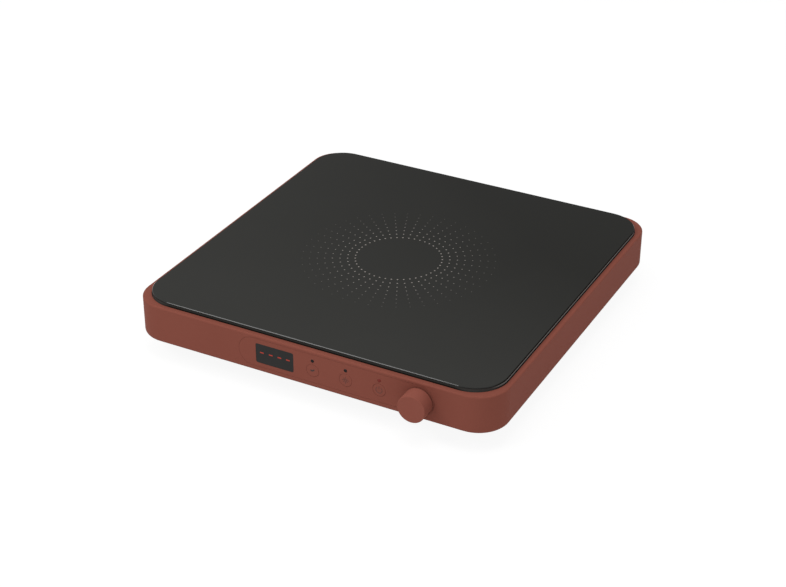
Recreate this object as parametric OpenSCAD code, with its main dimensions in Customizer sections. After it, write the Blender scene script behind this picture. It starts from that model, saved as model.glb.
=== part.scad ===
// Portable induction cooktop: a square glass hob in a low moulded housing, with its controls on the front edge.
// Millimetres, +Z up, front towards -Y. The origin is on the table, under the middle of the outline.

/* [Housing] */
// Width of the housing, side to side
body_w = 280; // [270:1:320]
// Depth of the housing, front to back
body_d = 280; // [270:1:320]
// Height of the housing, lowest rim to ledge
body_h = 28.4; // [27:0.2:34]
// Radius of the housing's corners in plan
corner_r = 22.5; // [20:0.5:28]
// Thickness of the side walls
wall = 2.8; // [2.6:0.1:3.4]
// Rounding of the upper outer edge
top_round = 1.1; // [0.4:0.1:1.6]
// Rounding of the lower outer edge
rim_round = 2.4; // [0.6:0.1:2.5]
// Thickness of the deck that carries the glass
deck_t = 2.4; // [1.8:0.1:3]
// Width of the deck inside the glass seat
deck_w = 9; // [7:0.5:11]
// Diameter of the screw bosses
boss_d = 9; // [8:0.5:10]
// Depth to which a side boss runs into the side wall
boss_sink = 0.5; // [0.3:0.1:1]
// Distance from the corner's centre of rounding to its boss
boss_reach = 12.5; // [11:0.5:14]

/* [Glass] */
// Thickness of the glass plate
glass_t = 4; // [3:0.1:5]
// Width of the ledge outside the glass
ledge_w = 4.4; // [3.6:0.1:6]
// Height of the glass above the ledge
glass_proud = 3; // [2.4:0.1:3.4]
// Corner radius of the glass
glass_r = 24; // [18:0.5:26]
// Polished bevel along its upper edge
glass_bevel = 0.4; // [0.3:0.1:1]
// Arris along its lower edge
glass_arris = 0.3; // [0.1:0.1:0.6]
// Gap between the glass and the wall of its seat
glass_gap = 0.5; // [0.4:0.05:0.8]
// Thickness of the silicone bead under the glass
bead_t = 0.6; // [0.4:0.1:1]
// Width of the bead
bead_w = 6; // [4:0.5:7]
// Clearance of the bead's lip, to the glass and to the seat
lip_gap = 0.05; // [0.02:0.01:0.1]
// Depth of the bead's lip below the ledge
lip_drop = 0.3; // [0.1:0.1:0.6]

/* [Base pan] */
// Height of the pan below the housing's rim
plinth_h = 12; // [11:0.5:20]
// Inset of the pan from the housing's sides
plinth_inset = 24; // [22:0.5:26]
// Corner radius of the pan
plinth_r = 18; // [12:0.5:24]
// Rounding of the pan's lower edge
plinth_round = 2; // [0.5:0.1:2.1]
// Thickness of the pan's walls, floor and flange
pan_t = 2.2; // [2.2:0.1:2.8]
// Recess of the pan's flange above the rim
flange_recess = 1; // [0.5:0.1:2]
// Gap between the flange and the housing's walls
flange_gap = 0.3; // [0.2:0.05:0.6]
// Width of a grille slot
grille_slot = 3; // [2:0.1:3.6]
// Width of a grille rib
grille_rib = 2; // [1.6:0.1:2.6]
// Number of spokes across the grille
grille_spokes = 6; // [4:1:8]
// Diameter of the grille's closed middle
grille_hub_d = 16; // [12:1:24]
// Number of exhaust slots in each row
vent_count = 14; // [8:1:16]
// Width of an exhaust slot
vent_w = 3; // [2:0.1:4]
// Height of an exhaust slot
vent_h = 6; // [4:0.1:6.5]
// Spacing of the exhaust slots
vent_pitch = 6.4; // [5:0.1:8]

/* [Feet and fasteners] */
// Height of a rubber foot below the pan
foot_h = 3.5; // [2.5:0.1:6]
// Diameter of a foot
foot_d = 20; // [14:0.5:24]
// Distance from the pan's sides to a foot's centre
foot_inset = 16; // [14:0.5:22]
// Diameter of a foot's plug
plug_d = 6; // [4:0.1:8]
// Length of the plug above the pan's floor
plug_out = 1.5; // [0.5:0.1:2.5]
// Gap round the plug in its hole
plug_gap = 0.1; // [0.05:0.05:0.2]
// Diameter of a foot's shallow suction cup
cup_d = 12; // [8:0.5:14]
// Depth of the suction cup
cup_h = 0.8; // [0.4:0.1:1.2]
// Shank diameter of the screws
screw_d = 2.6; // [2:0.1:3]
// Head diameter of the screws
screw_head_d = 5.4; // [4.6:0.1:6]
// Head height of the screws
screw_head_h = 1.9; // [1.4:0.1:2.2]
// Length of the base screws
base_screw_l = 12; // [8:0.5:16]
// Length of the short screws that hold boards, fan, coil and cord
short_screw_l = 6; // [5:0.5:7]
// Gap between a screw and its hole
screw_gap = 0.1; // [0.05:0.05:0.2]

/* [Control panel] */
// Thickness of the panel let into the front wall
panel_t = 1.6; // [1.2:0.1:1.8]
// Radius of the panel's round ends
panel_r = 11; // [10.5:0.1:11.2]
// Position of the left end's centre
panel_x = -40.3; // [-48:0.1:-40]
// Depth of the panel's middle line below the ledge
panel_drop = 13.2; // [13.1:0.1:13.6]
// Gap round the panel
panel_gap = 0.15; // [0.1:0.05:0.3]
// Width of the display window
window_w = 29.5; // [24:0.1:30]
// Height of the display window
window_h = 15.1; // [14:0.1:15.6]
// Corner radius of the display window
window_r = 1.4; // [0.5:0.1:2.5]
// Position of the window's middle
window_x = -23.1; // [-24:0.1:-22]
// Drop of the window's middle below the panel's middle line
window_low = 0.2; // [0:0.05:0.6]
// Ledge behind the window that it is glued to
window_ledge = 1.5; // [1:0.1:2.5]
// Gap round the window
window_gap = 0.1; // [0.05:0.05:0.2]
// Set-back of the window from the panel's face
window_sink = 0.15; // [0:0.05:0.3]

/* [Buttons and lights] */
// Diameter of a button
button_d = 9.4; // [8:0.1:10]
// Position of the first button
button_x = 6.4; // [4:0.1:7]
// Spacing of the buttons
button_pitch = 25.1; // [22:0.1:26]
// Drop of the buttons' centres below the panel's middle line
button_low = 1.5; // [1.3:0.1:2.2]
// Height of a button above the panel
button_proud = 0.1; // [0.1:0.1:0.8]
// Gap round a button
button_gap = 0.15; // [0.1:0.05:0.3]
// Rounding of a button's edge
button_round = 0.2; // [0.2:0.1:0.8]
// Width of the lip that keeps a button in
button_lip = 0.8; // [0.6:0.1:1]
// Thickness of that lip
button_lip_t = 1; // [0.6:0.1:1.4]
// Diameter of a button's stem
stem_d = 5; // [4:0.1:6]
// Travel of a button
button_travel = 0.7; // [0.4:0.1:0.8]
// Diameter of an indicator light
pipe_d = 2.4; // [1.8:0.1:3]
// Gap between a light's collar and the button's lip below it
light_gap = 0.25; // [0.2:0.05:0.5]
// Height of a light's rounded tip above the panel
pipe_proud = 0.25; // [0.1:0.05:0.5]
// Width of the light's collar behind the wall
pipe_lip = 0.4; // [0.3:0.1:0.6]
// Thickness of that collar
pipe_collar_t = 0.8; // [0.5:0.1:1.2]
// Gap round a light
pipe_gap = 0.08; // [0.05:0.01:0.15]

/* [Knob and encoder] */
// Diameter of the knob
knob_d = 20; // [17:0.5:22]
// Position of the knob's axis
knob_x = 86; // [85:0.1:88]
// Drop of the knob's axis below the panel's middle line
knob_low = 0.7; // [0:0.1:1]
// Stand-out of the knob from the front wall
knob_stand = 12; // [11:0.5:16]
// Running gap between the knob and the panel
knob_gap = 1; // [0.4:0.1:1.2]
// Rounding of the knob's front edge
knob_round = 0.6; // [0.3:0.1:1.5]
// Thickness of the knob's side wall
knob_wall = 2; // [1.4:0.1:2.4]
// Thickness of the knob's face
knob_face_t = 2.2; // [1.5:0.1:3]
// Wall of the knob's hub round the shaft
hub_wall = 1.7; // [1.2:0.1:2]
// Diameter of the encoder shaft
shaft_d = 6; // [5:0.1:6]
// Depth of the flat on the shaft
shaft_flat = 1.5; // [1:0.1:2]
// Running clearance round the shaft
shaft_gap = 0.05; // [0.02:0.01:0.08]
// Clearance between the shaft and the knob's bore
knob_fit = 0.05; // [0.02:0.01:0.1]
// Gap between the shaft's inner end and the board
shaft_back = 1; // [0.5:0.1:2]
// Wall of the encoder's threaded bush
bush_wall = 0.5; // [0.4:0.1:0.8]
// Length of the bush in front of the panel
bush_out = 2.6; // [2.4:0.1:2.8]
// Least wall of the encoder nut round the bush
nut_wall = 1.5; // [1:0.1:2]
// Thickness of the encoder nut
nut_t = 1.8; // [1.2:0.1:2]
// Width and height of the encoder's case
encoder_w = 12.5; // [11:0.1:13]
// Depth of the encoder's case
encoder_t = 6.5; // [5:0.1:6.8]

/* [Control board] */
// Gap between the front wall and the display module
display_gap = 0.8; // [0.4:0.1:2]
// Thickness of the circuit boards
pcb_t = 1.6; // [1:0.1:2]
// Gap above and below the control board
board_gap = 1; // [0.6:0.1:1.4]
// Board left of the window and right of the knob's axis
board_reach = 17; // [16:0.5:20]
// Diameter of the posts that carry the board
post_d = 6; // [5:0.1:6.4]
// Distance from the board's ends to the posts
post_inset = 4.5; // [4:0.1:5]
// Height of the posts above and below the board's middle line
post_rise = 5; // [4:0.1:5.5]
// Width of the display module
display_w = 30; // [28:0.1:30.5]
// Height of the display module
display_h = 14; // [12:0.1:15]
// Depth of the display module
display_t = 7.2; // [6:0.1:7.6]
// Width of a push switch
switch_w = 6; // [5.6:0.1:6.6]
// Depth of a push switch
switch_t = 3.5; // [3.2:0.1:4]
// Diameter of a switch's plunger
plunger_d = 3.4; // [3:0.1:3.8]
// Length of the plunger in front of the switch
plunger_out = 1.1; // [1:0.1:1.4]
// Length of the plunger inside the switch
plunger_in = 1.8; // [1.4:0.1:2]
// Clearance round a plunger
plunger_gap = 0.08; // [0.05:0.01:0.1]
// Width of an indicator LED
led_w = 2; // [1.6:0.1:2.4]
// Depth of an indicator LED
led_t = 1.4; // [1:0.1:1.8]
// Gap between an LED and its light pipe
led_gap = 0.3; // [0.2:0.05:0.5]

/* [Induction coil] */
// Offset of the cooking zone from the housing's middle, towards the front
zone_shift = 4; // [0:0.5:8]
// Number of turns
coil_turns = 18; // [12:1:18]
// Diameter of the litz wire
wire_d = 2.6; // [2:0.1:2.7]
// Spacing of the turns
coil_pitch = 3.2; // [3.15:0.05:3.4]
// Radius of the innermost turn
coil_r = 22; // [21:0.5:24]
// Bend radius of the leads
lead_bend = 4; // [3.5:0.1:5]
// Gap above and below the winding
wire_gap = 0.1; // [0.05:0.05:0.2]
// Thickness of the insulation sheet
sheet_t = 0.8; // [0.4:0.1:1]
// Thickness of the former's plate
former_t = 2.5; // [2:0.1:3]
// Thickness of the former's rims
former_rim = 1.5; // [1.2:0.1:2]
// Gap between the winding and the former's rims
rim_gap = 1.2; // [0.8:0.1:2]
// Width of a ferrite bar
ferrite_w = 13; // [10:0.5:14]
// Length of a ferrite bar
ferrite_l = 46; // [36:0.5:46]
// Thickness of a ferrite bar
ferrite_t = 5; // [4:0.1:5.5]
// Number of ferrite bars
ferrite_count = 8; // [6:1:8]
// Thickness of the ribs beside a bar
rib_t = 1.2; // [0.8:0.1:1.6]
// Depth of those ribs
rib_h = 3; // [2:0.1:4]
// Gap between a bar and its ribs
ferrite_gap = 0.2; // [0.1:0.05:0.4]
// Distance from the former's rim to a mounting hole
ear_reach = 6; // [5.5:0.1:8]
// Radius of a mounting ear
ear_r = 5; // [4.5:0.1:6]
// Diameter of the coil posts
coil_post_d = 8; // [7:0.1:9]
// Diameter of the temperature sensor
sensor_d = 12; // [9:0.1:14]
// Width of the sensor's foot round it
sensor_foot = 2; // [1.5:0.1:3]
// Thickness of the sensor's foot
sensor_foot_t = 1.4; // [1:0.1:2]
// Gap round the temperature sensor and round the coil's leads
sensor_gap = 0.3; // [0.2:0.05:0.5]

/* [Fan] */
// Width of the fan's square frame
fan_w = 80; // [76:0.5:80]
// Height of the fan
fan_t = 15; // [14:0.5:16]
// Least wall between the fan's duct and its frame's sides
duct_wall = 2; // [1.6:0.1:3]
// Height of the posts under the fan
fan_rise = 2.5; // [2:0.1:4]
// Height of the frame's corner flanges
fan_flange = 3.5; // [2.5:0.1:4.5]
// Thickness of the motor plate and its struts
motor_plate = 2.4; // [2:0.1:3]
// Diameter of the rotor's cup
cup_out_d = 32; // [28:0.5:36]
// Wall of the rotor's cup
cup_wall = 1.5; // [1.2:0.1:2]
// Number of blades
blade_count = 7; // [5:1:9]
// Thickness of a blade
blade_t = 1.8; // [1.2:0.1:2.4]
// Lean of a blade, across per height
blade_lean = 1.1; // [0.8:0.05:1.3]
// Bow of a blade out of its straight line
blade_camber = 1.6; // [0.8:0.1:2.4]
// Height of the cup's rims above and below a blade
blade_edge = 0.4; // [0.2:0.1:0.8]
// Gap between a blade's tip and the duct
tip_gap = 1; // [0.6:0.1:1.6]
// Gap above and below the rotor
rotor_gap = 0.8; // [0.6:0.1:1.2]
// Diameter of the rotor's pin
pin_d = 3; // [2.5:0.1:3.4]
// Running clearance round the pin
pin_gap = 0.05; // [0.02:0.01:0.08]
// Outside diameter of the bearing tube
tube_d = 7; // [6:0.1:8]
// Diameter of the stator
stator_d = 24; // [20:0.5:24]
// Distance from the frame's sides to its screws
fan_hole_inset = 4.25; // [4:0.05:4.5]
// Spacing from the housing's middle to the fan's middle, to the left
fan_left = 58; // [56:0.5:64]
// Spacing from the housing's middle to the fan's middle, to the rear
fan_back = 42; // [40:0.5:46]

/* [Power board] */
// Width of the power board
power_w = 88; // [86:0.5:92]
// Depth of the power board
power_d = 136; // [130:0.5:140]
// Spacing from the housing's middle to the board's left edge
power_left = 9; // [8:0.5:12]
// Spacing from the housing's middle to the board's rear edge
power_back = 98; // [96:0.5:99]
// Height of the posts under the board
power_rise = 5; // [4:0.1:6]
// Distance from the board's edges to its screws
power_inset = 4; // [3.8:0.1:4.4]
// Spacing of the parts on the board
part_gap = 3; // [2:0.1:4]
// Width of the heat sink
sink_w = 44; // [40:0.5:46]
// Depth of the heat sink
sink_d = 54; // [48:0.5:56]
// Thickness of the heat sink's base
sink_base = 3.5; // [2.5:0.1:4]
// Height of the heat sink's fins
sink_fin_h = 6.5; // [5:0.1:8]
// Thickness of a fin
sink_fin_t = 1.4; // [1:0.1:1.8]
// Number of fins
sink_fins = 11; // [7:1:13]
// Height of a power device, under the heat sink's base
device_h = 5; // [4:0.1:5.5]
// Depth of a power device
device_d = 16; // [12:0.5:18]
// Width of the power transistor
transistor_w = 16; // [14:0.5:20]
// Width of the bridge rectifier
rectifier_w = 24; // [20:0.5:28]
// Width of a film capacitor
film_w = 32; // [24:0.5:34]
// Depth of a film capacitor
film_d = 14; // [10:0.5:16]
// Height of a film capacitor
film_h = 14; // [10:0.5:16]
// Diameter of a supply capacitor
can_d = 10; // [8:0.1:11]
// Height of a supply capacitor
can_h = 14; // [10:0.5:15]
// Width and height of the supply transformer
transformer_w = 18; // [14:0.5:20]
// Depth of the supply transformer
transformer_d = 17; // [14:0.5:19]
// Height of the supply transformer
transformer_h = 14; // [10:0.5:15]
// Outside diameter of the line choke
choke_d = 26; // [22:0.5:28]
// Inside diameter of the line choke
choke_hole = 12; // [9:0.5:14]
// Height of the line choke
choke_h = 12; // [9:0.5:14]
// Diameter of the fuse
fuse_d = 5; // [4:0.1:6]
// Side wall of the fuse's clips
fuse_side = 0.5; // [0.4:0.1:1]
// Length of the fuse
fuse_l = 20; // [18:0.5:21]
// Diameter of a coil terminal
terminal_d = 7; // [5:0.1:8]
// Height of a coil terminal
terminal_h = 8; // [6:0.1:10]
// Width of the mains terminal block
mains_w = 24; // [20:0.5:26]
// Depth of the mains terminal block
mains_d = 12; // [10:0.5:14]
// Height of the mains terminal block
mains_h = 13; // [10:0.5:14]
// Diameter of the buzzer
buzzer_d = 12; // [10:0.1:14]
// Height of the buzzer
buzzer_h = 7.5; // [5:0.1:9]
// Width of the ribbon cable
ribbon_w = 16; // [10:0.5:18]
// Thickness of the ribbon cable
ribbon_t = 0.9; // [0.6:0.1:1.2]
// Depth and height of the plugs at the ribbon's ends
plug_h = 5; // [4:0.1:6]
// Side wall of those plugs, beyond the ribbon
plug_side = 1; // [0.6:0.1:2]

/* [Cord inlet] */
// Radius of the grommet's bore
cord_r = 3.7; // [3:0.1:4]
// Distance from the housing's right side to the inlet
cord_inset = 52; // [46:0.5:80]
// Gap between the grommet and the pan's flange
cord_gap = 0.2; // [0.1:0.05:1]
// Wall of the grommet's neck
grommet_wall = 1.8; // [1.4:0.1:2.4]
// Width of the grommet's collars round its neck
collar_lip = 1.5; // [1:0.1:2]
// Stand-out of the grommet from the rear wall
gland_out = 2; // [1:0.1:3]
// Depth of the grommet inside the rear wall
gland_in = 2.5; // [1.5:0.1:3]
// Gap round the grommet in its hole
gland_gap = 0.1; // [0.05:0.05:0.2]
// Width of the cord clamp
clamp_w = 26; // [24:0.5:30]
// Depth of the cord clamp
clamp_d = 8; // [6:0.5:9]
// Thickness of the cord clamp over the cord
clamp_t = 2; // [1.5:0.1:3]
// Height of the clamp's posts above the cord's middle
clamp_lift = 1; // [0.5:0.1:2]

/* [Hidden] */
$fn = 48;

// Overshoot of a cutting tool
eps = 1;

// Depth: the knob and the grommet stand out of the housing, and the origin is under the middle of the whole
overall_d = knob_stand + body_d + gland_out;
front_y = knob_stand - overall_d / 2;
rear_y = front_y + body_d;
mid_y = (front_y + rear_y) / 2;

// Heights above the table
pan_z = foot_h;
floor_z = pan_z + pan_t;
rim_z = foot_h + plinth_h;
flange_z = rim_z + flange_recess;
flange_top = flange_z + pan_t;
ledge_z = rim_z + body_h;
glass_z = ledge_z + glass_proud - glass_t;
seat_z = glass_z - bead_t;
deck_z = seat_z - deck_t;

// Plan sizes
glass_w = body_w - 2 * ledge_w;
glass_d = body_d - 2 * ledge_w;
deck_inset = ledge_w - glass_gap + deck_w;
flange_inset = wall + flange_gap;
plinth_w = body_w - 2 * plinth_inset;
plinth_d = body_d - 2 * plinth_inset;

// Screw places in the corners and at the middle of the left and right sides
boss_x = body_w / 2 - corner_r + boss_reach * sin(45);
boss_y = body_d / 2 - corner_r + boss_reach * sin(45);
boss_side = body_w / 2 - wall - boss_d / 2 + boss_sink;
boss_spots = [
  [boss_x, boss_y], [-boss_x, boss_y], [-boss_x, -boss_y], [boss_x, -boss_y], [boss_side, 0], [-boss_side, 0]
];
boss_hole = screw_d + 2 * screw_gap;

// Front wall: depths behind the front face
web_t = wall - panel_t;
board_depth = wall + display_gap + display_t;
stem_end = board_depth - switch_t - plunger_out;
window_drop = panel_drop + window_low;
button_drop = panel_drop + button_low;
knob_drop = panel_drop + knob_low;
button_lip_d = button_d + 2 * button_lip;
pipe_collar_d = pipe_d + 2 * pipe_lip;
pipe_drop = button_drop - button_lip_d / 2 - light_gap - pipe_collar_d / 2;
bush_d = shaft_d + 2 * bush_wall;
hub_d = shaft_d + 2 * hub_wall;
nut_af = bush_d + 2 * nut_wall;
button_xs = [for (i = [0:2]) button_x + i * button_pitch];
encoder_face = board_depth - encoder_t;
shaft_tip = knob_stand - knob_face_t;
shaft_root = board_depth - shaft_back;
board_x0 = window_x - window_w / 2 - board_reach;
board_x1 = knob_x + board_reach;
board_z0 = flange_top + board_gap;
board_z1 = deck_z - board_gap;
post_spots = [
  for (x = [board_x0 + post_inset, board_x1 - post_inset], s = [-1, 1])
    [x, ledge_z - (board_z0 + board_z1) / 2 + s * post_rise]
];

// Coil stack, hung under the glass
zone_y = mid_y - zone_shift;
wire_top = glass_z - sheet_t - wire_gap;
wire_z = wire_top - wire_d / 2;
former_z = wire_z - wire_d / 2 - wire_gap - former_t;
coil_end_r = coil_r + coil_turns * coil_pitch;
former_r = coil_end_r + wire_d / 2 + rim_gap + former_rim;
former_hole_r = coil_r - wire_d / 2 - rim_gap - former_rim;
ferrite_r = coil_r + wire_d / 2 + rim_gap;
ear_r0 = former_r + ear_reach;
ear_angles = [90, 210, 330];
lead_spots = [[coil_r, -lead_bend], [coil_end_r, lead_bend]];

// Power board
power_z = floor_z + power_rise;
power_top = power_z + pcb_t;
power_x0 = power_left;
power_y1 = mid_y + power_back;
power_spots = [
  for (x = [power_inset, power_w - power_inset], y = [power_inset, power_d - power_inset])
    [power_x0 + x, power_y1 - y]
];

// Fan
fan_x = -fan_left;
fan_y = mid_y + fan_back;
fan_z = floor_z + fan_rise;
fan_hole = fan_w / 2 - fan_hole_inset;
duct_d = fan_w - 2 * duct_wall;
grille_d = duct_d;
fan_spots = [for (x = [-1, 1], y = [-1, 1]) [fan_x + x * fan_hole, fan_y + y * fan_hole]];
blade_r = duct_d / 2 - tip_gap;
blade_steps = 6;
plate_z = fan_t - motor_plate;
cup_z = rotor_gap;
cup_top = plate_z - rotor_gap;

// Cord inlet
neck_d = 2 * (cord_r + grommet_wall);
collar_d = neck_d + 2 * collar_lip;
cord_x = body_w / 2 - cord_inset;
cord_z = flange_top + collar_d / 2 + cord_gap;
clamp_y = rear_y - wall - gland_in - clamp_d;
clamp_z = cord_z + clamp_lift;
clamp_hole = clamp_w / 2 - post_d / 2;

// Feet
foot_x = plinth_w / 2 - foot_inset;
foot_y = plinth_d / 2 - foot_inset;

terracotta = "#8a5246";
smoke = "#2e2d2c";
board_green = "#2f5b3c";
steel = "#b8b9bb";
rubber = "#26262a";
ivory = "#d8d2c4";

// Sweeps a profile round a rounded rectangle. In the profile, x is the inset from the outline and y the height.
module around(w, d, r) {
  for (k = [0:3]) {
    side = k % 2 == 0 ? [w, d] : [d, w];
    rotate([0, 0, 90 * k]) {
      translate([side[0] / 2 - r, side[1] / 2 - r, 0])
        rotate_extrude(angle = 90) translate([r, 0]) mirror([1, 0]) children();
      translate([side[0] / 2, side[1] / 2 - r, 0]) rotate([90, 0, 0])
        linear_extrude(side[1] - 2 * r) mirror([1, 0]) children();
    }
  }
}

// Inset at which a slab's edge profile ends, inside the slab's middle and short of the corner's axis
function slab_reach(r) = 3 * r / 4;

// A slab with the same edge profile all round: the profile reaches from inset 0 to slab_reach(r)
module edged_slab(w, d, r, h) {
  around(w, d, r) children();
  translate([(r - w) / 2, (r - d) / 2, 0]) cube([w - r, d - r, h]);
}

// What a rounding of radius r takes off the corner at the origin of a profile that lies in the +x, +y quarter
module round_off(r) {
  difference() {
    translate([-eps, -eps]) square(r + eps);
    translate([r, r]) circle(r);
  }
}

module outline(w, d, r) {
  square([w - 2 * r, d], center = true);
  square([w, d - 2 * r], center = true);
  for (x = [-1, 1], y = [-1, 1]) translate([x * (w / 2 - r), y * (d / 2 - r)]) circle(r);
}

// Places a shape on the front wall: its +z faces the cook and starts at the given depth behind the front face
module on_front(x, drop, depth) {
  translate([x, front_y + depth, ledge_z - drop]) rotate([90, 0, 0]) children();
}

// A pan-head screw with its seat at the origin and its shank downwards
module screw(l) {
  difference() {
    union() {
      translate([0, 0, -l]) cylinder(d = screw_d, h = l);
      cylinder(d1 = screw_head_d, d2 = screw_head_d * 0.8, h = screw_head_h);
    }
    for (a = [0, 90]) rotate([0, 0, a])
      translate([-screw_head_d * 0.3, -screw_head_d * 0.06, screw_head_h / 2])
        cube([screw_head_d * 0.6, screw_head_d * 0.12, screw_head_h]);
  }
}

module screw_hole(l) {
  translate([0, 0, -l]) cylinder(d = boss_hole, h = l + eps);
}

// Outline of the control panel on the front wall, about the left end's centre
module panel_outline(r) {
  circle(r);
  translate([0, -r]) square([knob_x - panel_x, 2 * r]);
  translate([knob_x - panel_x, 0]) circle(r);
}

module glass_top() {
  color("#363634") translate([0, mid_y, glass_z])
    edged_slab(glass_w, glass_d, glass_r, glass_t) polygon([
      [glass_arris, 0], [slab_reach(glass_r), 0], [slab_reach(glass_r), glass_t], [glass_bevel, glass_t],
      [0, glass_t - glass_bevel], [0, glass_arris]
    ]);
}

module glass_seal() {
  lip_h = ledge_z - seat_z - lip_drop;
  color("#4a4a48") translate([0, mid_y, seat_z])
    around(glass_w, glass_d, glass_r) polygon([
      [lip_gap - glass_gap, 0], [bead_w, 0], [bead_w, bead_t], [-lip_gap, bead_t],
      [-lip_gap, lip_h], [lip_gap - glass_gap, lip_h]
    ]);
}

// Wall and deck of the housing, before the glass seat is cut
module housing_profile() {
  difference() {
    union() {
      translate([0, rim_z]) square([wall, body_h]);
      translate([0, deck_z]) square([deck_inset, ledge_z - deck_z]);
    }
    translate([0, ledge_z]) mirror([0, 1]) round_off(top_round);
    translate([0, rim_z]) round_off(rim_round);
  }
}

module housing() {
  color(terracotta) difference() {
    union() {
      translate([0, mid_y, 0]) around(body_w, body_d, corner_r) housing_profile();
      for (p = boss_spots) translate([p[0], mid_y + p[1], flange_top])
        cylinder(d = boss_d, h = seat_z - flange_top - deck_t / 2);
      for (p = post_spots) on_front(p[0], p[1], board_depth) cylinder(d = post_d, h = board_depth - web_t);
      on_front(knob_x, knob_drop, encoder_face) cylinder(d = encoder_w, h = encoder_face - panel_t);
    }
    translate([0, mid_y, seat_z]) linear_extrude(ledge_z - seat_z + eps)
      outline(glass_w + 2 * glass_gap, glass_d + 2 * glass_gap, glass_r + glass_gap);
    on_front(panel_x, panel_drop, panel_t) linear_extrude(panel_t + eps) panel_outline(panel_r);
    on_front(window_x, window_drop, wall + eps) linear_extrude(wall + 2 * eps)
      outline(window_w - 2 * window_ledge, window_h - 2 * window_ledge, window_r);
    for (x = button_xs) {
      on_front(x, button_drop, wall + eps) cylinder(d = button_d + 2 * button_gap, h = wall + 2 * eps);
      on_front(x, pipe_drop, wall + eps) cylinder(d = pipe_d + 2 * pipe_gap, h = wall + 2 * eps);
    }
    on_front(knob_x, knob_drop, encoder_face + eps)
      cylinder(d = bush_d + 2 * screw_gap, h = encoder_face + 2 * eps);
    for (p = boss_spots) translate([p[0], mid_y + p[1], flange_top + base_screw_l])
      screw_hole(base_screw_l + eps);
    for (p = post_spots) on_front(p[0], p[1], board_depth) rotate([180, 0, 0]) screw_hole(short_screw_l);
    translate([cord_x, rear_y, cord_z]) rotate([90, 0, 0])
      cylinder(d = neck_d + 2 * gland_gap, h = 2 * wall + 2 * eps, center = true);
  }
}

module control_panel() {
  color(terracotta) difference() {
    on_front(panel_x, panel_drop, panel_t) linear_extrude(panel_t) panel_outline(panel_r - panel_gap);
    on_front(window_x, window_drop, panel_t + eps) linear_extrude(panel_t + 2 * eps)
      outline(window_w, window_h, window_r);
    for (x = button_xs) {
      on_front(x, button_drop, panel_t + eps) cylinder(d = button_d + 2 * button_gap, h = panel_t + 2 * eps);
      on_front(x, pipe_drop, panel_t + eps) cylinder(d = pipe_d + 2 * pipe_gap, h = panel_t + 2 * eps);
    }
    on_front(knob_x, knob_drop, panel_t + eps) cylinder(d = bush_d + 2 * screw_gap, h = panel_t + 2 * eps);
  }
}

module display_window() {
  color(smoke) on_front(window_x, window_drop, panel_t) linear_extrude(panel_t - window_sink)
    outline(window_w - 2 * window_gap, window_h - 2 * window_gap, window_r - window_gap);
}

module display_module() {
  color("#1f1f20") on_front(window_x, window_drop, board_depth) linear_extrude(display_t)
    square([display_w, display_h], center = true);
}

// A light pipe: a clear rod with a collar behind the wall and a rounded tip in front of the panel
module light_pipe(i, shade) {
  depth = board_depth - led_t - led_gap;
  tip = pipe_proud;
  color(shade) on_front(button_xs[i], pipe_drop, 0) rotate_extrude() polygon([
    [0, -depth], [pipe_d / 2, -depth], [pipe_d / 2, -wall - pipe_collar_t], [pipe_collar_d / 2, -wall - pipe_collar_t],
    [pipe_collar_d / 2, -wall], [pipe_d / 2, -wall], [pipe_d / 2, 0], [pipe_d / 2 - tip, tip], [0, tip]
  ]);
}

module indicator_timer() { light_pipe(0, "#241d1c"); }
module indicator_boost() { light_pipe(1, "#241d1c"); }
module indicator_power() { light_pipe(2, "#5c1414"); }

module indicator_leds() {
  color("#e6d9a8") for (x = button_xs) on_front(x, pipe_drop, board_depth)
    translate([-led_w / 2, -led_w / 2, 0]) cube([led_w, led_w, led_t]);
}

// A push button: a cap through the wall, a flange behind it and a stem that bears on its switch
module push_button(i) {
  cap_r = button_d / 2;
  flange = wall + button_lip_t;
  color(terracotta) on_front(button_xs[i], button_drop, 0) rotate_extrude() difference() {
    polygon([
      [0, -stem_end], [stem_d / 2, -stem_end], [stem_d / 2, -flange], [button_lip_d / 2, -flange],
      [button_lip_d / 2, -wall], [cap_r, -wall], [cap_r, button_proud], [0, button_proud]
    ]);
    translate([cap_r, button_proud]) mirror([0, 1]) mirror([1, 0]) round_off(button_round);
  }
}

module button_timer() { push_button(0); }
module button_boost() { push_button(1); }
module button_power() { push_button(2); }

module switch_plunger(i) {
  color("#17171a") on_front(button_xs[i], button_drop, stem_end + plunger_out + plunger_in)
    cylinder(d = plunger_d, h = plunger_out + plunger_in);
}

module plunger_timer() { switch_plunger(0); }
module plunger_boost() { switch_plunger(1); }
module plunger_power() { switch_plunger(2); }

module switch_bodies() {
  bore = plunger_in + button_travel + plunger_gap;
  color("#8d8f92") for (x = button_xs) on_front(x, button_drop, board_depth) difference() {
    translate([-switch_w / 2, -switch_w / 2, 0]) cube([switch_w, switch_w, switch_t]);
    translate([0, 0, switch_t - bore]) cylinder(d = plunger_d + 2 * plunger_gap, h = bore + eps);
  }
}

// A hollow cylindrical knob with a hub that takes the flatted shaft
module knob() {
  hub_start = bush_out + knob_gap / 2;
  cavity_r = knob_d / 2 - knob_wall;
  color(terracotta) on_front(knob_x, knob_drop, 0) difference() {
    rotate_extrude() difference() {
      polygon([
        [0, hub_start], [hub_d / 2, hub_start], [hub_d / 2, shaft_tip], [cavity_r, shaft_tip], [cavity_r, knob_gap],
        [knob_d / 2, knob_gap], [knob_d / 2, knob_stand], [0, knob_stand]
      ]);
      translate([knob_d / 2, knob_stand]) mirror([0, 1]) mirror([1, 0]) round_off(knob_round);
    }
    translate([0, 0, hub_start - eps]) flatted(shaft_d + 2 * knob_fit, shaft_tip - hub_start + eps, knob_fit);
  }
}

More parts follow.
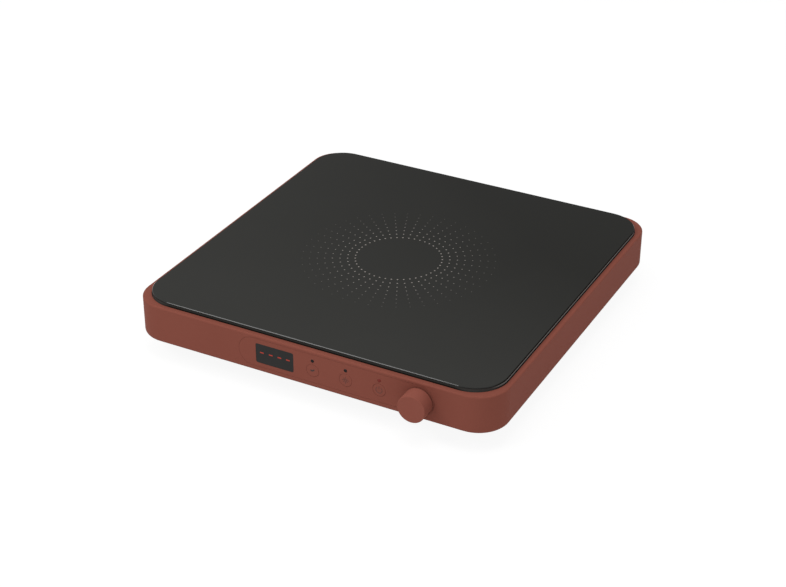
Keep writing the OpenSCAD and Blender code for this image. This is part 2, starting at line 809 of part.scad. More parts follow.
// A round bar along +z with one flat
module flatted(d, h, gap) {
  intersection() {
    cylinder(d = d, h = h);
    translate([-d, -d, -eps]) cube([2 * d, d + shaft_d / 2 - shaft_flat + gap, h + 2 * eps]);
  }
}

module encoder_shaft() {
  color(steel) on_front(knob_x, knob_drop, 0) {
    translate([0, 0, -shaft_root]) cylinder(d = shaft_d, h = shaft_root + bush_out);
    translate([0, 0, bush_out]) flatted(shaft_d, shaft_tip - bush_out, 0);
  }
}

module encoder_body() {
  color("#6c7f5e") on_front(knob_x, knob_drop, board_depth) difference() {
    union() {
      translate([-encoder_w / 2, -encoder_w / 2, 0]) cube([encoder_w, encoder_w, encoder_t]);
      cylinder(d = bush_d, h = board_depth + bush_out);
    }
    translate([0, 0, board_depth - shaft_root]) cylinder(d = shaft_d + 2 * shaft_gap, h = board_depth + 2 * bush_out);
  }
}

module encoder_nut() {
  color(steel) on_front(knob_x, knob_drop, 0) difference() {
    cylinder(d = nut_af / cos(30), h = nut_t, $fn = 6);
    translate([0, 0, -eps]) cylinder(d = bush_d + 2 * knob_fit, h = nut_t + 2 * eps);
  }
}

module control_board() {
  color(board_green) difference() {
    union() {
      translate([board_x0, front_y + board_depth, board_z0]) cube([board_x1 - board_x0, pcb_t, board_z1 - board_z0]);
      on_front(ribbon_x, ledge_z - ribbon_z, board_depth + pcb_t + plug_h)
        translate([-plug_w / 2, -plug_h / 2, 0]) cube([plug_w, plug_h, plug_h]);
    }
    for (p = post_spots) on_front(p[0], p[1], board_depth + pcb_t + eps)
      cylinder(d = boss_hole, h = pcb_t + 2 * eps);
  }
}

module control_screws() {
  color(steel) for (p = post_spots) on_front(p[0], p[1], board_depth + pcb_t) rotate([180, 0, 0])
    screw(short_screw_l);
}

// The base pan: a flange that closes the housing, a deep pan with grilles, and the posts that carry the works
module base_cover() {
  inner_w = plinth_w - 2 * pan_t;
  inner_d = plinth_d - 2 * pan_t;
  flange_r = corner_r - flange_inset;
  clamp_post = clamp_z - flange_top;
  color("#3a3a3c") difference() {
    union() {
      difference() {
        union() {
          translate([0, mid_y, flange_z]) linear_extrude(pan_t)
            outline(body_w - 2 * flange_inset, body_d - 2 * flange_inset, flange_r);
          translate([0, mid_y, pan_z]) edged_slab(plinth_w, plinth_d, plinth_r, flange_top - pan_z) difference() {
            square([slab_reach(plinth_r), flange_top - pan_z]);
            round_off(plinth_round);
          }
        }
        translate([0, mid_y, floor_z]) linear_extrude(flange_top)
          outline(inner_w, inner_d, plinth_r - pan_t);
      }
      for (p = power_spots) translate([p[0], p[1], floor_z - pan_t / 2])
        cylinder(d = post_d, h = power_rise + pan_t / 2);
      for (p = fan_spots) translate([p[0], p[1], floor_z - pan_t / 2]) cylinder(d = post_d, h = fan_rise + pan_t / 2);
      for (a = ear_angles) translate([ear_r0 * cos(a), zone_y + ear_r0 * sin(a), floor_z - pan_t / 2])
        cylinder(d = coil_post_d, h = former_z - floor_z + pan_t / 2);
      for (s = [-1, 1]) translate([cord_x + s * clamp_hole, clamp_y, flange_top - pan_t / 2])
        cylinder(d = post_d, h = clamp_post + pan_t / 2);
    }
    for (p = boss_spots) translate([p[0], mid_y + p[1], flange_z - eps]) cylinder(d = boss_hole, h = pan_t + 2 * eps);
    for (x = [-1, 1], y = [-1, 1]) translate([x * foot_x, mid_y + y * foot_y, pan_z - eps])
      cylinder(d = plug_d + 2 * plug_gap, h = pan_t + 2 * eps);
    for (p = power_spots) translate([p[0], p[1], power_z]) screw_hole(short_screw_l - pcb_t);
    for (p = fan_spots) translate([p[0], p[1], fan_z]) screw_hole(short_screw_l - fan_flange);
    for (a = ear_angles) translate([ear_r0 * cos(a), zone_y + ear_r0 * sin(a), former_z])
      screw_hole(short_screw_l - former_t);
    for (s = [-1, 1]) translate([cord_x + s * clamp_hole, clamp_y, clamp_z]) screw_hole(short_screw_l - clamp_t);
    translate([fan_x, fan_y, pan_z - eps]) grille_slots(pan_t + 2 * eps);
    for (i = [0:vent_count - 1]) translate([
      plinth_w / 2 - pan_t - eps, mid_y + (i - (vent_count - 1) / 2) * vent_pitch - vent_w / 2, floor_z + pan_t
    ]) cube([pan_t + 2 * eps, vent_w, vent_h]);
  }
}

// Ring-shaped slots of the intake grille, crossed by spokes
module grille_slots(h) {
  pitch = grille_slot + grille_rib;
  rings = floor((grille_d - grille_hub_d) / 2 / pitch);
  difference() {
    for (i = [0:rings - 1]) rotate_extrude() translate([grille_hub_d / 2 + i * pitch, 0]) square([grille_slot, h]);
    for (k = [0:grille_spokes - 1]) rotate([0, 0, 360 * k / grille_spokes])
      translate([0, -grille_rib / 2, -eps]) cube([grille_d, grille_rib, h + 2 * eps]);
  }
}

// A rubber foot with a suction cup below and a plug that presses into the pan
module foot(x, y) {
  color(rubber) translate([x * foot_x, mid_y + y * foot_y, 0]) rotate_extrude() polygon([
    [0, cup_h], [cup_d / 2 - cup_h, cup_h], [cup_d / 2, 0], [foot_d / 2 - cup_h, 0], [foot_d / 2, cup_h],
    [foot_d / 2, foot_h], [plug_d / 2, foot_h], [plug_d / 2, floor_z + plug_out], [0, floor_z + plug_out]
  ]);
}

module foot_front_left() { foot(-1, -1); }
module foot_front_right() { foot(1, -1); }
module foot_rear_left() { foot(-1, 1); }
module foot_rear_right() { foot(1, 1); }

module base_screws() {
  color(steel) for (p = boss_spots) translate([p[0], mid_y + p[1], flange_z]) rotate([180, 0, 0])
    screw(base_screw_l);
}

// Square fan frame: a round duct between corner flanges, and a motor plate on struts with the bearing tube
module fan_frame() {
  neck_d = fan_w - tip_gap;
  color("#2a2a2c") translate([fan_x, fan_y, fan_z]) difference() {
    union() {
      difference() {
        linear_extrude(fan_t) outline(fan_w, fan_w, fan_hole_inset);
        translate([0, 0, -eps]) cylinder(d = duct_d, h = fan_t + 2 * eps);
        translate([0, 0, fan_flange]) linear_extrude(fan_t - 2 * fan_flange) difference() {
          square(fan_w + 2 * eps, center = true);
          circle(d = neck_d);
        }
      }
      translate([0, 0, plate_z]) cylinder(d = cup_out_d, h = motor_plate);
      for (a = [45, 135]) rotate([0, 0, a])
        translate([-fan_w / 2, -motor_plate, plate_z]) cube([fan_w, 2 * motor_plate, motor_plate]);
      translate([0, 0, cup_z + cup_wall + rotor_gap])
        cylinder(d = tube_d, h = plate_z - cup_z - cup_wall - rotor_gap + eps);
    }
    cylinder(d = pin_d + 2 * pin_gap, h = fan_t + eps);
    for (x = [-1, 1], y = [-1, 1]) translate([x * fan_hole, y * fan_hole, -eps])
      cylinder(d = boss_hole, h = fan_t + 2 * eps);
  }
}

// One blade: a cambered strip that leans across the duct's height, cut to the duct's round
module blade() {
  h = cup_top - cup_z - 2 * blade_edge;
  line = [for (t = [0:1 / blade_steps:1]) [h * blade_lean * (t - 0.5) + blade_camber * sin(180 * t), h * t]];
  band = concat(
    [for (p = line) p - [blade_t / 2, 0]],
    [for (i = [blade_steps:-1:0]) line[i] + [blade_t / 2, 0]]
  );
  translate([0, 0, blade_edge]) intersection() {
    rotate([90, 0, 90]) linear_extrude(blade_r) polygon(band);
    difference() {
      translate([0, 0, -eps]) cylinder(r = blade_r, h = h + 2 * eps);
      translate([0, 0, -2 * eps]) cylinder(r = (cup_out_d - cup_wall) / 2, h = h + 4 * eps);
    }
  }
}

module fan_rotor() {
  color("#1d1d1f") translate([fan_x, fan_y, fan_z + cup_z]) {
    difference() {
      cylinder(d = cup_out_d, h = cup_top - cup_z);
      translate([0, 0, cup_wall]) cylinder(d = cup_out_d - 2 * cup_wall, h = cup_top);
    }
    cylinder(d = pin_d, h = fan_t - cup_z - rotor_gap);
    for (k = [0:blade_count - 1]) rotate([0, 0, 360 * k / blade_count]) blade();
  }
}

module fan_stator() {
  stator_z = cup_z + cup_wall + 2 * rotor_gap;
  color("#a8683c") translate([fan_x, fan_y, fan_z + stator_z]) difference() {
    cylinder(d = stator_d, h = plate_z - stator_z);
    translate([0, 0, -eps]) cylinder(d = tube_d + 2 * pin_gap, h = fan_t);
  }
}

module fan_screws() {
  color(steel) for (p = fan_spots) translate([p[0], p[1], fan_z + fan_flange]) screw(short_screw_l);
}

// Angles of the ferrite bars, which lie between the coil's leads
ferrite_angles = [for (k = [0:ferrite_count - 1]) (k + 0.5) * 360 / ferrite_count];

// The coil's carrier: a plate with a rim and a hub, ears on the posts, and ribs that hold the ferrite bars
module coil_former() {
  rib_y = ferrite_w / 2 + ferrite_gap;
  color(ivory) translate([0, zone_y, former_z]) difference() {
    union() {
      cylinder(r = former_r, h = wire_top - former_z);
      for (a = ear_angles) rotate([0, 0, a]) {
        translate([former_r - eps, -ear_r, 0]) cube([ear_reach + eps, 2 * ear_r, former_t]);
        translate([ear_r0, 0, 0]) cylinder(r = ear_r, h = former_t);
      }
      for (a = ferrite_angles, s = [-1, 1]) rotate([0, 0, a])
        translate([ferrite_r, s > 0 ? rib_y : -rib_y - rib_t, -rib_h]) cube([ferrite_l, rib_t, rib_h + former_t / 2]);
    }
    translate([0, 0, former_t]) difference() {
      cylinder(r = former_r - former_rim, h = former_z);
      translate([0, 0, -eps]) cylinder(r = former_hole_r + former_rim, h = former_z);
    }
    translate([0, 0, former_t]) cylinder(r = former_hole_r, h = former_z);
    translate([0, 0, -eps]) cylinder(d = sensor_d / 2, h = former_z);
    for (a = ear_angles) rotate([0, 0, a]) translate([ear_r0, 0, -eps]) cylinder(d = boss_hole, h = former_t + 2 * eps);
    for (p = lead_spots) translate([p[0], 0, -eps]) linear_extrude(former_t + 2 * eps) lead_slot(p[1]);
  }
}

// Slot in the former where a lead bends down: from the wire's line to the lead's drop
module lead_slot(drop) {
  slot_w = wire_d + 2 * sensor_gap;
  translate([-slot_w / 2, min(0, drop)]) square([slot_w, abs(drop)]);
  translate([0, drop]) circle(d = slot_w);
}

// Points along the spiral, and the least gap between any two turns
spiral_step = 15;
spiral = [
  for (t = [0:spiral_step:360 * coil_turns])
    let (half = min(floor(t / 180), 2 * coil_turns - 1), r = coil_r + half * coil_pitch / 2)
      [half % 2 * coil_pitch / 2 + r * cos(t), r * sin(t)]
];
turn_gap = min([
  for (a = [0:len(spiral) - 1], b = [a + 180 / spiral_step:1:len(spiral) - 1]) norm(spiral[a] - spiral[b]) - wire_d
]);
echo(least_gap_between_turns = turn_gap);

// One unbroken wire: half turns on two centres make the spiral, and both ends bend down to their terminals
module coil_winding() {
  color("#b5713a") translate([0, zone_y, wire_z]) {
    for (i = [0:2 * coil_turns - 1]) translate([i % 2 == 0 ? 0 : coil_pitch / 2, 0, 0])
      rotate([0, 0, 180 * (i % 2)]) rotate_extrude(angle = 180)
        translate([coil_r + i * coil_pitch / 2, 0]) circle(d = wire_d);
    for (k = [0, 1]) translate([lead_spots[k][0], 0, -lead_bend]) mirror([0, 1 - k, 0]) {
      rotate([0, -90, 0]) rotate_extrude(angle = 90) translate([lead_bend, 0]) circle(d = wire_d);
      translate([0, lead_bend, lead_bend - wire_z + power_top + terminal_h])
        cylinder(d = wire_d, h = wire_z - lead_bend - power_top - terminal_h);
    }
  }
}

module ferrite_bars() {
  color("#3b3937") for (a = ferrite_angles) translate([0, zone_y, former_z - ferrite_t]) rotate([0, 0, a])
    translate([ferrite_r, -ferrite_w / 2, 0]) cube([ferrite_l, ferrite_w, ferrite_t]);
}

module coil_insulation() {
  color("#c9b98f") translate([0, zone_y, glass_z - sheet_t]) difference() {
    cylinder(r = former_r, h = sheet_t);
    translate([0, 0, -eps]) cylinder(d = sensor_d + 2 * sensor_gap, h = sheet_t + 2 * eps);
  }
}

// A silicone cup on the former's plate, which holds the sensor's bead against the glass
module temperature_sensor() {
  base = former_z + former_t;
  color("#c2c2bd") translate([0, zone_y, base]) {
    cylinder(d = sensor_d + 2 * sensor_foot, h = sensor_foot_t);
    cylinder(d = sensor_d, h = glass_z - base);
  }
}

module coil_screws() {
  color(steel) for (a = ear_angles) translate([ear_r0 * cos(a), zone_y + ear_r0 * sin(a), former_z + former_t])
    screw(short_screw_l);
}

// Places a part of depth d on the power board: x from the board's left edge, y from its rear edge
module on_power(x, y, d = 0) {
  translate([power_x0 + x, power_y1 - y - d, power_top]) children();
}

module power_board() {
  color(board_green) difference() {
    union() {
      translate([power_x0, power_y1 - power_d, power_z]) cube([power_w, power_d, pcb_t]);
      translate([ribbon_x - plug_w / 2, ribbon_y - plug_h / 2, power_z]) cube([plug_w, plug_h, pcb_t + plug_h]);
    }
    for (p = power_spots) translate([p[0], p[1], power_z - eps]) cylinder(d = boss_hole, h = pcb_t + 2 * eps);
    for (a = ear_angles) translate([ear_r0 * cos(a), zone_y + ear_r0 * sin(a), power_z - eps])
      cylinder(d = coil_post_d + 2 * part_gap, h = pcb_t + 2 * eps);
  }
}

module power_screws() {
  color(steel) for (p = power_spots) translate([p[0], p[1], power_top]) screw(short_screw_l);
}

// Places on the power board, row by row from its left rear corner
part_edge = 2 * power_inset;
sink_x = power_inset;
column_x = sink_x + sink_w + part_gap;
fuse_w = fuse_d + 2 * fuse_side;
mains_x = column_x + fuse_w + part_gap;
choke_y = part_edge + mains_d + part_gap;
filter_y = choke_y + choke_d + part_gap;
resonant_y = filter_y + film_d + part_gap;
supply_y = part_edge + sink_d + part_gap;
can_x = sink_x + transformer_w + part_gap;
buzzer_y = resonant_y + film_d + 4 * part_gap;

// An extruded heat sink on two legs, with the power devices clamped under its base
module heat_sink() {
  pitch = (sink_d - sink_fin_t) / (sink_fins - 1);
  color("#c3c5c8") on_power(sink_x, part_edge, sink_d) rotate([90, 0, 90]) linear_extrude(sink_w) {
    translate([0, device_h]) square([sink_d, sink_base]);
    for (i = [0:sink_fins - 1]) translate([i * pitch, device_h + sink_base / 2])
      square([sink_fin_t, sink_base / 2 + sink_fin_h]);
    for (x = [0, sink_d - sink_base]) translate([x, 0]) square([sink_base, device_h + sink_base / 2]);
  }
}

// Flat package of a power device: a body with three leads at its rear
module power_device(w) {
  lead = device_h / 4;
  cube([w, device_d, device_h]);
  for (i = [-1:1]) translate([w / 2 + i * w / 4 - lead / 2, device_d - eps, 0])
    cube([lead, part_gap / 2 + eps, device_h / 2]);
}

module power_transistor() {
  color("#202022") on_power(sink_x + part_gap, part_edge + sink_base + part_gap, device_d) power_device(transistor_w);
}

module bridge_rectifier() {
  color("#202022") on_power(sink_x + part_gap, part_edge + sink_base + device_d + 3 * part_gap, device_d)
    power_device(rectifier_w);
}

module filter_capacitor() {
  color("#c8a23a") on_power(column_x, filter_y, film_d) cube([film_w, film_d, film_h]);
}

module resonant_capacitor() {
  color("#3d6fa5") on_power(column_x, resonant_y, film_d) cube([film_w, film_d, film_h]);
}

module supply_capacitors() {
  color("#28324a") for (i = [0, 1])
    on_power(can_x + can_d / 2, supply_y + can_d / 2 + i * (can_d + part_gap)) cylinder(d = can_d, h = can_h);
}

// An E-core transformer: a wound bobbin between the core's two outer legs
module supply_transformer() {
  leg = transformer_d / 3;
  color("#d9c65a") on_power(sink_x, supply_y, transformer_d) {
    for (y = [0, transformer_d - leg]) translate([0, y, 0]) cube([transformer_w, leg, transformer_h]);
    translate([transformer_w / 6, leg / 2, 0])
      cube([transformer_w * 2 / 3, transformer_d - leg, transformer_h * 5 / 6]);
  }
}

module line_choke() {
  ring_w = (choke_d - choke_hole) / 2;
  color("#b5713a") on_power(mains_x + choke_d / 2, choke_y + choke_d / 2) rotate_extrude()
    translate([choke_hole / 2 + ring_w / 2, choke_h / 2]) outline(ring_w, choke_h, ring_w / 3);
}

// A glass fuse between two clips
module fuse() {
  clip_l = fuse_l / 4;
  color("#cfd3d4") on_power(column_x, part_edge, fuse_l) {
    translate([fuse_w / 2, 0, fuse_d]) rotate([-90, 0, 0]) cylinder(d = fuse_d, h = fuse_l);
    for (y = [0, fuse_l - clip_l]) translate([0, y, 0]) cube([fuse_w, clip_l, fuse_d]);
  }
}

module coil_terminals() {
  color("#c8ab5a") for (p = lead_spots) translate([p[0], zone_y + p[1], power_top])
    cylinder(d = terminal_d, h = terminal_h);
}

// Two-pole terminal block with a wire entry and a screw well for each pole
module mains_terminal() {
  color("#e0e0dc") on_power(mains_x, part_edge, mains_d) difference() {
    cube([mains_w, mains_d, mains_h]);
    for (k = [1, 3]) translate([mains_w * k / 4, mains_d / 2, 0]) {
      translate([0, 0, mains_h / 2]) cylinder(d = mains_w / 6, h = mains_h);
      translate([0, 0, mains_h / 3]) rotate([-90, 0, 0]) cylinder(d = mains_w / 5, h = mains_d);
    }
  }
}

module buzzer() {
  color("#19191b") on_power(can_x + buzzer_d, buzzer_y + buzzer_d / 2) difference() {
    cylinder(d = buzzer_d, h = buzzer_h);
    translate([0, 0, buzzer_h / 2]) cylinder(d = buzzer_d / 5, h = buzzer_h);
  }
}

// Ribbon cable from the control board's plug down to the power board's plug
plug_w = ribbon_w + 2 * plug_side;
ribbon_x = power_x0 + power_w / 2;
ribbon_z = (board_z0 + board_z1) / 2;
ribbon_y = power_y1 - power_d + plug_h;
module ribbon_cable() {
  start = front_y + board_depth + pcb_t + plug_h;
  drop_y = ribbon_y - ribbon_t / 2;
  end_z = power_top + plug_h;
  color("#9aa0a6") translate([ribbon_x - ribbon_w / 2, 0, 0]) rotate([90, 0, 90]) linear_extrude(ribbon_w) {
    translate([start, ribbon_z - ribbon_t / 2]) square([drop_y + ribbon_t - start, ribbon_t]);
    translate([drop_y, end_z]) square([ribbon_t, ribbon_z + ribbon_t / 2 - end_z]);
  }
}

// A rubber grommet: a neck in the rear wall between two collars, with the cord's bore through it
module cord_grommet() {
  color(rubber) translate([cord_x, rear_y, cord_z]) rotate([-90, 0, 0]) rotate_extrude() polygon([
    [cord_r, -wall - gland_in], [collar_d / 2, -wall - gland_in], [collar_d / 2, -wall], [neck_d / 2, -wall],
    [neck_d / 2, 0], [collar_d / 2, 0], [collar_d / 2 - gland_out / 2, gland_out], [cord_r, gland_out]
  ]);
}

// A saddle that bridges the cord on its two posts
module cord_clamp() {
  arch_r = cord_r + gland_gap;
  color(ivory) translate([cord_x, clamp_y, clamp_z]) difference() {
    union() {
      translate([-clamp_w / 2, -clamp_d / 2, 0]) cube([clamp_w, clamp_d, clamp_t]);
      translate([0, 0, -clamp_lift]) rotate([90, 0, 0]) cylinder(r = arch_r + clamp_t, h = clamp_d, center = true);
    }
    translate([0, 0, -clamp_lift]) rotate([90, 0, 0]) cylinder(r = arch_r, h = clamp_d + 2 * eps, center = true);
    translate([-clamp_w, -clamp_d, -2 * clamp_w]) cube([2 * clamp_w, 2 * clamp_d, 2 * clamp_w]);
    for (s = [-1, 1]) translate([s * clamp_hole, 0, -eps]) cylinder(d = boss_hole, h = clamp_t + 2 * eps);
  }
}

module clamp_screws() {
  color(steel) for (s = [-1, 1]) translate([cord_x + s * clamp_hole, clamp_y, clamp_z + clamp_t])
    screw(short_screw_l);
}

glass_top();
glass_seal();
housing();
control_panel();
display_window();
display_module();
indicator_timer();
indicator_boost();
indicator_power();
indicator_leds();
button_timer();
button_boost();
button_power();
plunger_timer();
plunger_boost();
plunger_power();
switch_bodies();
knob();
encoder_shaft();
encoder_body();
encoder_nut();
control_board();
control_screws();
base_cover();
foot_front_left();
foot_front_right();
foot_rear_left();
foot_rear_right();
base_screws();
fan_frame();
fan_rotor();
fan_stator();
fan_screws();
coil_former();
coil_winding();
ferrite_bars();
coil_insulation();
temperature_sensor();
coil_screws();
power_board();
power_screws();
heat_sink();
power_transistor();
bridge_rectifier();
filter_capacitor();
resonant_capacitor();
supply_capacitors();
supply_transformer();
line_choke();
fuse();
coil_terminals();
mains_terminal();
buzzer();
ribbon_cable();
cord_grommet();
cord_clamp();
clamp_screws();
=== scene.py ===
# A portable induction hob in terracotta plastic under dark glass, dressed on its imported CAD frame.
# All lengths are metres in the CAD frame: the front faces -Y and the feet stand on z = 0.
import math

import bmesh
import bpy
from mathutils import Matrix, Vector


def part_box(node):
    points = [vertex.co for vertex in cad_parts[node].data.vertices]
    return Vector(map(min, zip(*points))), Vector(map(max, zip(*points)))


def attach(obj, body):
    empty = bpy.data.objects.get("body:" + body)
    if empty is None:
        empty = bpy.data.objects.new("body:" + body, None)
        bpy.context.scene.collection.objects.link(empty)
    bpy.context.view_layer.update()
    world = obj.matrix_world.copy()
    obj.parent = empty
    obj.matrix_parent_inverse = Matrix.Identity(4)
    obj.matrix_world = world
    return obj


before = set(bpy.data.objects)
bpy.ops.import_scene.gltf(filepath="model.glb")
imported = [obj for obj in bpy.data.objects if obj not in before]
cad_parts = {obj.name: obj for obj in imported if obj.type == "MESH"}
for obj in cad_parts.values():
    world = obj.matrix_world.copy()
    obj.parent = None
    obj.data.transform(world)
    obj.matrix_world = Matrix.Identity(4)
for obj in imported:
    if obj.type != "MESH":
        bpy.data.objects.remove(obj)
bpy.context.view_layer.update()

# Camera: a long lens on the front right, a little above the hob, as the product was photographed.
# Its place, turn and focal length were fitted to the housing's edges in a 786 x 587 frame.
camera_spot = (0.4959, -0.9547, 0.6390)
camera_round, camera_down, camera_roll = (math.radians(turn) for turn in (27.641, 30.001, 0.208))
scene = bpy.context.scene
scene.view_settings.view_transform = "Standard"
lens = bpy.data.cameras.new("camera")
lens.sensor_fit = "HORIZONTAL"
lens.sensor_width = 36.0
lens.lens = 77.81
lens.clip_end = 50.0
camera = bpy.data.objects.new("camera", lens)
scene.collection.objects.link(camera)
aim = Matrix.Rotation(camera_round, 4, "Z") @ Matrix.Rotation(math.pi / 2 - camera_down, 4, "X")
camera.matrix_world = Matrix.Translation(camera_spot) @ aim @ Matrix.Rotation(camera_roll, 4, "Z")
scene.camera = camera


# Studio: a pale seamless floor that keeps the hob's shadow, in a white surround. A long soft box up
# on the front left draws the glass's front edge, and a broad one hangs above the hob.
class Field:
    """A shader socket: arithmetic on it adds Math nodes, and node() adds a node of any other kind."""

    def __init__(self, tree, socket=None):
        self.tree, self.socket = tree, socket

    def node(self, kind, settings=None, inputs=None, out=0):
        made = self.tree.nodes.new("ShaderNode" + kind)
        for key, value in (settings or {}).items():
            if key == "stops":
                ramp = made.color_ramp.elements
                for _ in value[2:]:
                    ramp.new(0.5)
                for element, (spot, colour) in zip(ramp, value):
                    element.position, element.color = spot, colour
            else:
                setattr(made, key, value)
        for key, value in (inputs or {}).items():
            if isinstance(value, Field):
                self.tree.links.new(value.socket, made.inputs[key])
            else:
                made.inputs[key].default_value = value
        return Field(self.tree, made.outputs[out])

    def feed(self, shader, **sockets):
        for key, value in sockets.items():
            self.tree.links.new(value.socket, shader.inputs[key.replace("_", " ")])

    def math(self, operation, left, right=0.0):
        return self.node("Math", {"operation": operation}, {0: left, 1: right})

    def held(self):
        """This value, held between 0 and 1."""
        return self.math("MINIMUM", self.math("MAXIMUM", self, 0.0), 1.0)

    def blend(self, low, high):
        """The colour that this value picks between two others."""
        return self.node("Mix", {"data_type": "RGBA"}, {0: self, 6: low, 7: high}, 2)

    def __add__(self, other):
        return self.math("ADD", self, other)

    __radd__ = __add__

    def __sub__(self, other):
        return self.math("SUBTRACT", self, other)

    def __rsub__(self, other):
        return self.math("SUBTRACT", other, self)

    def __mul__(self, other):
        return self.math("MULTIPLY", self, other)

    __rmul__ = __mul__

    def __truediv__(self, other):
        return self.math("DIVIDE", self, other)

    def __rtruediv__(self, other):
        return self.math("DIVIDE", other, self)

    def __lt__(self, other):
        return self.math("LESS_THAN", self, other)

    def __gt__(self, other):
        return self.math("GREATER_THAN", self, other)


def seen_share(start):
    """1 for rays that show the surround itself, from the camera or by a mirror or a lens, and else 0."""
    kinds = ("Is Camera Ray", "Is Glossy Ray", "Is Transmission Ray")
    camera_ray, glossy_ray, lens_ray = (start.node("LightPath", out=kind) for kind in kinds)
    return start.math("MINIMUM", camera_ray + glossy_ray + lens_ray, 1.0)


white = (1.0, 1.0, 1.0, 1.0)
ambient = 0.52
surround = bpy.data.worlds.new("surround")
surround.use_nodes = True
scene.world = surround
air = Field(surround.node_tree)
sky = surround.node_tree.nodes["Background"]
sky.inputs["Color"].default_value = white
air.feed(sky, Strength=ambient + seen_share(air) * (1.0 - ambient))

floor_r, floor_sides = 6.0, 96
floor_mesh = bmesh.new()
bmesh.ops.create_circle(floor_mesh, cap_ends=True, radius=floor_r, segments=floor_sides)
floor_data = bpy.data.meshes.new("studio_floor")
floor_mesh.to_mesh(floor_data)
floor_mesh.free()
floor = bpy.data.objects.new("studio_floor", floor_data)
scene.collection.objects.link(floor)
paper = bpy.data.materials.new("studio_paper")
paper.use_nodes = True
paper.node_tree.nodes.clear()
sheet = Field(paper.node_tree)
shadow_share = 0.14
matt = sheet.node("BsdfDiffuse", inputs={"Color": (0.9, 0.9, 0.9, 1.0)})
bright = sheet.node("Emission", inputs={"Color": white, "Strength": 1.06})
upper = sheet.node("MixShader", inputs={0: seen_share(sheet) * (1.0 - shadow_share), 1: matt, 2: bright})
clear = sheet.node("BsdfTransparent")
both = sheet.node("MixShader", inputs={0: sheet.node("NewGeometry", out="Backfacing"), 1: upper, 2: clear})
surface = paper.node_tree.nodes.new("ShaderNodeOutputMaterial")
sheet.feed(surface, Surface=both)
floor_data.materials.append(paper)

for name, spot, lit_spot, wide, tall, watts in (
    ("key_box", (-0.52, -0.765, 0.92), (0.0, -0.13, 0.046), 0.66, 0.24, 3.5),
    ("top_box", (0.10, -0.25, 1.35), (0.0, 0.0, 0.046), 0.80, 0.80, 6.5),
):
    lamp = bpy.data.lights.new(name, "AREA")
    lamp.shape, lamp.size, lamp.size_y, lamp.energy = "RECTANGLE", wide, tall, watts
    box = bpy.data.objects.new(name, lamp)
    scene.collection.objects.link(box)
    way = Vector(lit_spot) - Vector(spot)
    box.matrix_world = Matrix.Translation(spot) @ way.to_track_quat("-Z", "Y").to_matrix().to_4x4()


# Base pan: one moulding in black-grey plastic that closes the hob from below and carries the fan,
# the boards and the coil on its posts. Its outer face has a spark-eroded grain.
def shade(red, green, blue):
    """A colour picked in steps from 0 to 255, as a shader socket takes it."""
    steps = [c / 255 for c in (red, green, blue)]
    return tuple(c / 12.92 if c < 0.04 else ((c + 0.055) / 1.055) ** 2.4 for c in steps) + (1.0,)


def blank(name, plain):
    """A new material with its plain values set: itself, its start, its shader and its coordinates."""
    made = bpy.data.materials.new(name)
    made.use_nodes = True
    shader = made.node_tree.nodes["Principled BSDF"]
    for key, value in plain.items():
        shader.inputs[key].default_value = value
    start = Field(made.node_tree)
    return made, start, shader, start.node("TexCoord", out="Object")


def moulding(name, low, high, grain=2600.0, depth=0.00004, rough=0.55, level=0.5):
    """Moulded plastic: a fine grain in relief, a faint drift of tone, and a gloss that varies with both."""
    made, start, shader, place = blank(name, {"Specular IOR Level": level})
    fine = start.node("TexNoise", inputs={"Vector": place, "Scale": grain, "Detail": 2.0, "Roughness": 0.6})
    drift = start.node("TexNoise", inputs={"Vector": place, "Scale": 22.0, "Detail": 3.0})
    start.feed(
        shader,
        Base_Color=(drift * 0.6 + fine * 0.4).held().blend(shade(*low), shade(*high)),
        Roughness=rough - 0.06 + drift * 0.08 + fine * 0.04,
        Normal=start.node("Bump", inputs={"Strength": 0.35, "Distance": depth, "Height": fine}),
    )
    return made


def dress(material, *names):
    """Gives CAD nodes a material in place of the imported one."""
    for name in names:
        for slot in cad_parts[name].material_slots:
            slot.material = material


dress(moulding("pan_plastic", (46, 46, 47), (58, 58, 59), 1500.0, 0.00006, 0.6), "base_cover")

# Feet: four soft rubber feet, each a round pad with a stem that is pulled through the pan's floor.
# The rubber is matt black with a dusting of pale bloom, and the cord grommet is moulded in it too.
feet_rubber, start, shader, place = blank("foot_rubber", {"Specular IOR Level": 0.3})
bloom = start.node("TexNoise", inputs={"Vector": place, "Scale": 260.0, "Detail": 4.0, "Roughness": 0.7})
start.feed(
    shader,
    Base_Color=bloom.blend(shade(26, 26, 27), shade(44, 44, 45)),
    Roughness=0.7 + bloom * 0.2,
    Normal=start.node("Bump", inputs={"Strength": 0.2, "Distance": 0.00005, "Height": bloom}),
)
dress(feet_rubber, "foot_front_left", "foot_front_right", "foot_rear_left", "foot_rear_right", "cord_grommet")


# Screws, encoder and nut: zinc-plated steel, turned or pressed, with fine turning lines and a few
# duller patches where the plating is thin.
def plated(name, low, high, rough):
    """Bright metal with patches of dulled plating and fine scratches."""
    made, start, shader, place = blank(name, {"Metallic": 1.0})
    patch = start.node("TexNoise", inputs={"Vector": place, "Scale": 420.0, "Detail": 3.0})
    turned = start.node("Mapping", inputs={"Vector": place, "Scale": (1.0, 1.0, 9.0)})
    lines = start.node("TexNoise", inputs={"Vector": turned, "Scale": 900.0})
    start.feed(
        shader,
        Base_Color=patch.blend(shade(*low), shade(*high)),
        Roughness=rough - 0.08 + patch * 0.16 + lines * 0.06,
        Normal=start.node("Bump", inputs={"Strength": 0.15, "Distance": 0.00002, "Height": lines}),
    )
    return made


screw_steel = plated("plated_steel", (150, 152, 155), (196, 198, 200), 0.32)
dress(screw_steel, "base_screws", "fan_screws", "coil_screws", "power_screws", "control_screws",
      "clamp_screws", "encoder_shaft", "encoder_nut")

